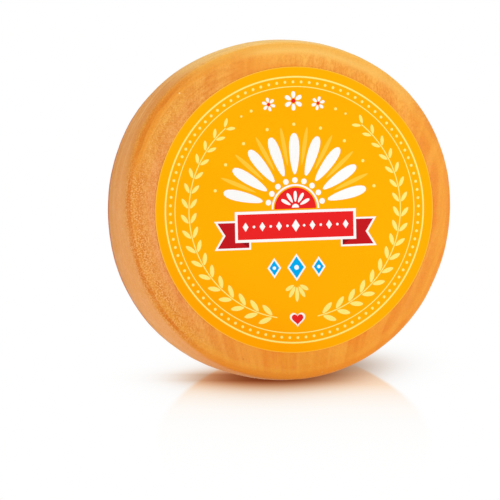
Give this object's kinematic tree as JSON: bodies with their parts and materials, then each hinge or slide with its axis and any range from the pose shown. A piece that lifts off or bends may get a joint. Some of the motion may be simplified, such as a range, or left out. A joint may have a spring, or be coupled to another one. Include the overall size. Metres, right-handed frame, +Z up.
{
  "type": "raclette cheese wheel",
  "caption": "Whole round raclette cheese wheel with a washed orange rind, standing on its rim, with a large round paper label on its front face.",
  "frame": {"origin": "on the ground under the middle of the wheel, which stands on its rim", "axes": "+Z up; the wheel's axis lies along Y and the labelled face looks towards -Y"},
  "size_m": [0.2984, 0.0701, 0.2979],
  "materials": {
    "rind": "satin",
    "label_paper": "satin"
  },
  "bodies": {
    "root": {"cheese_wheel": "rind", "label": "label_paper"}
  },
  "joints": []
}
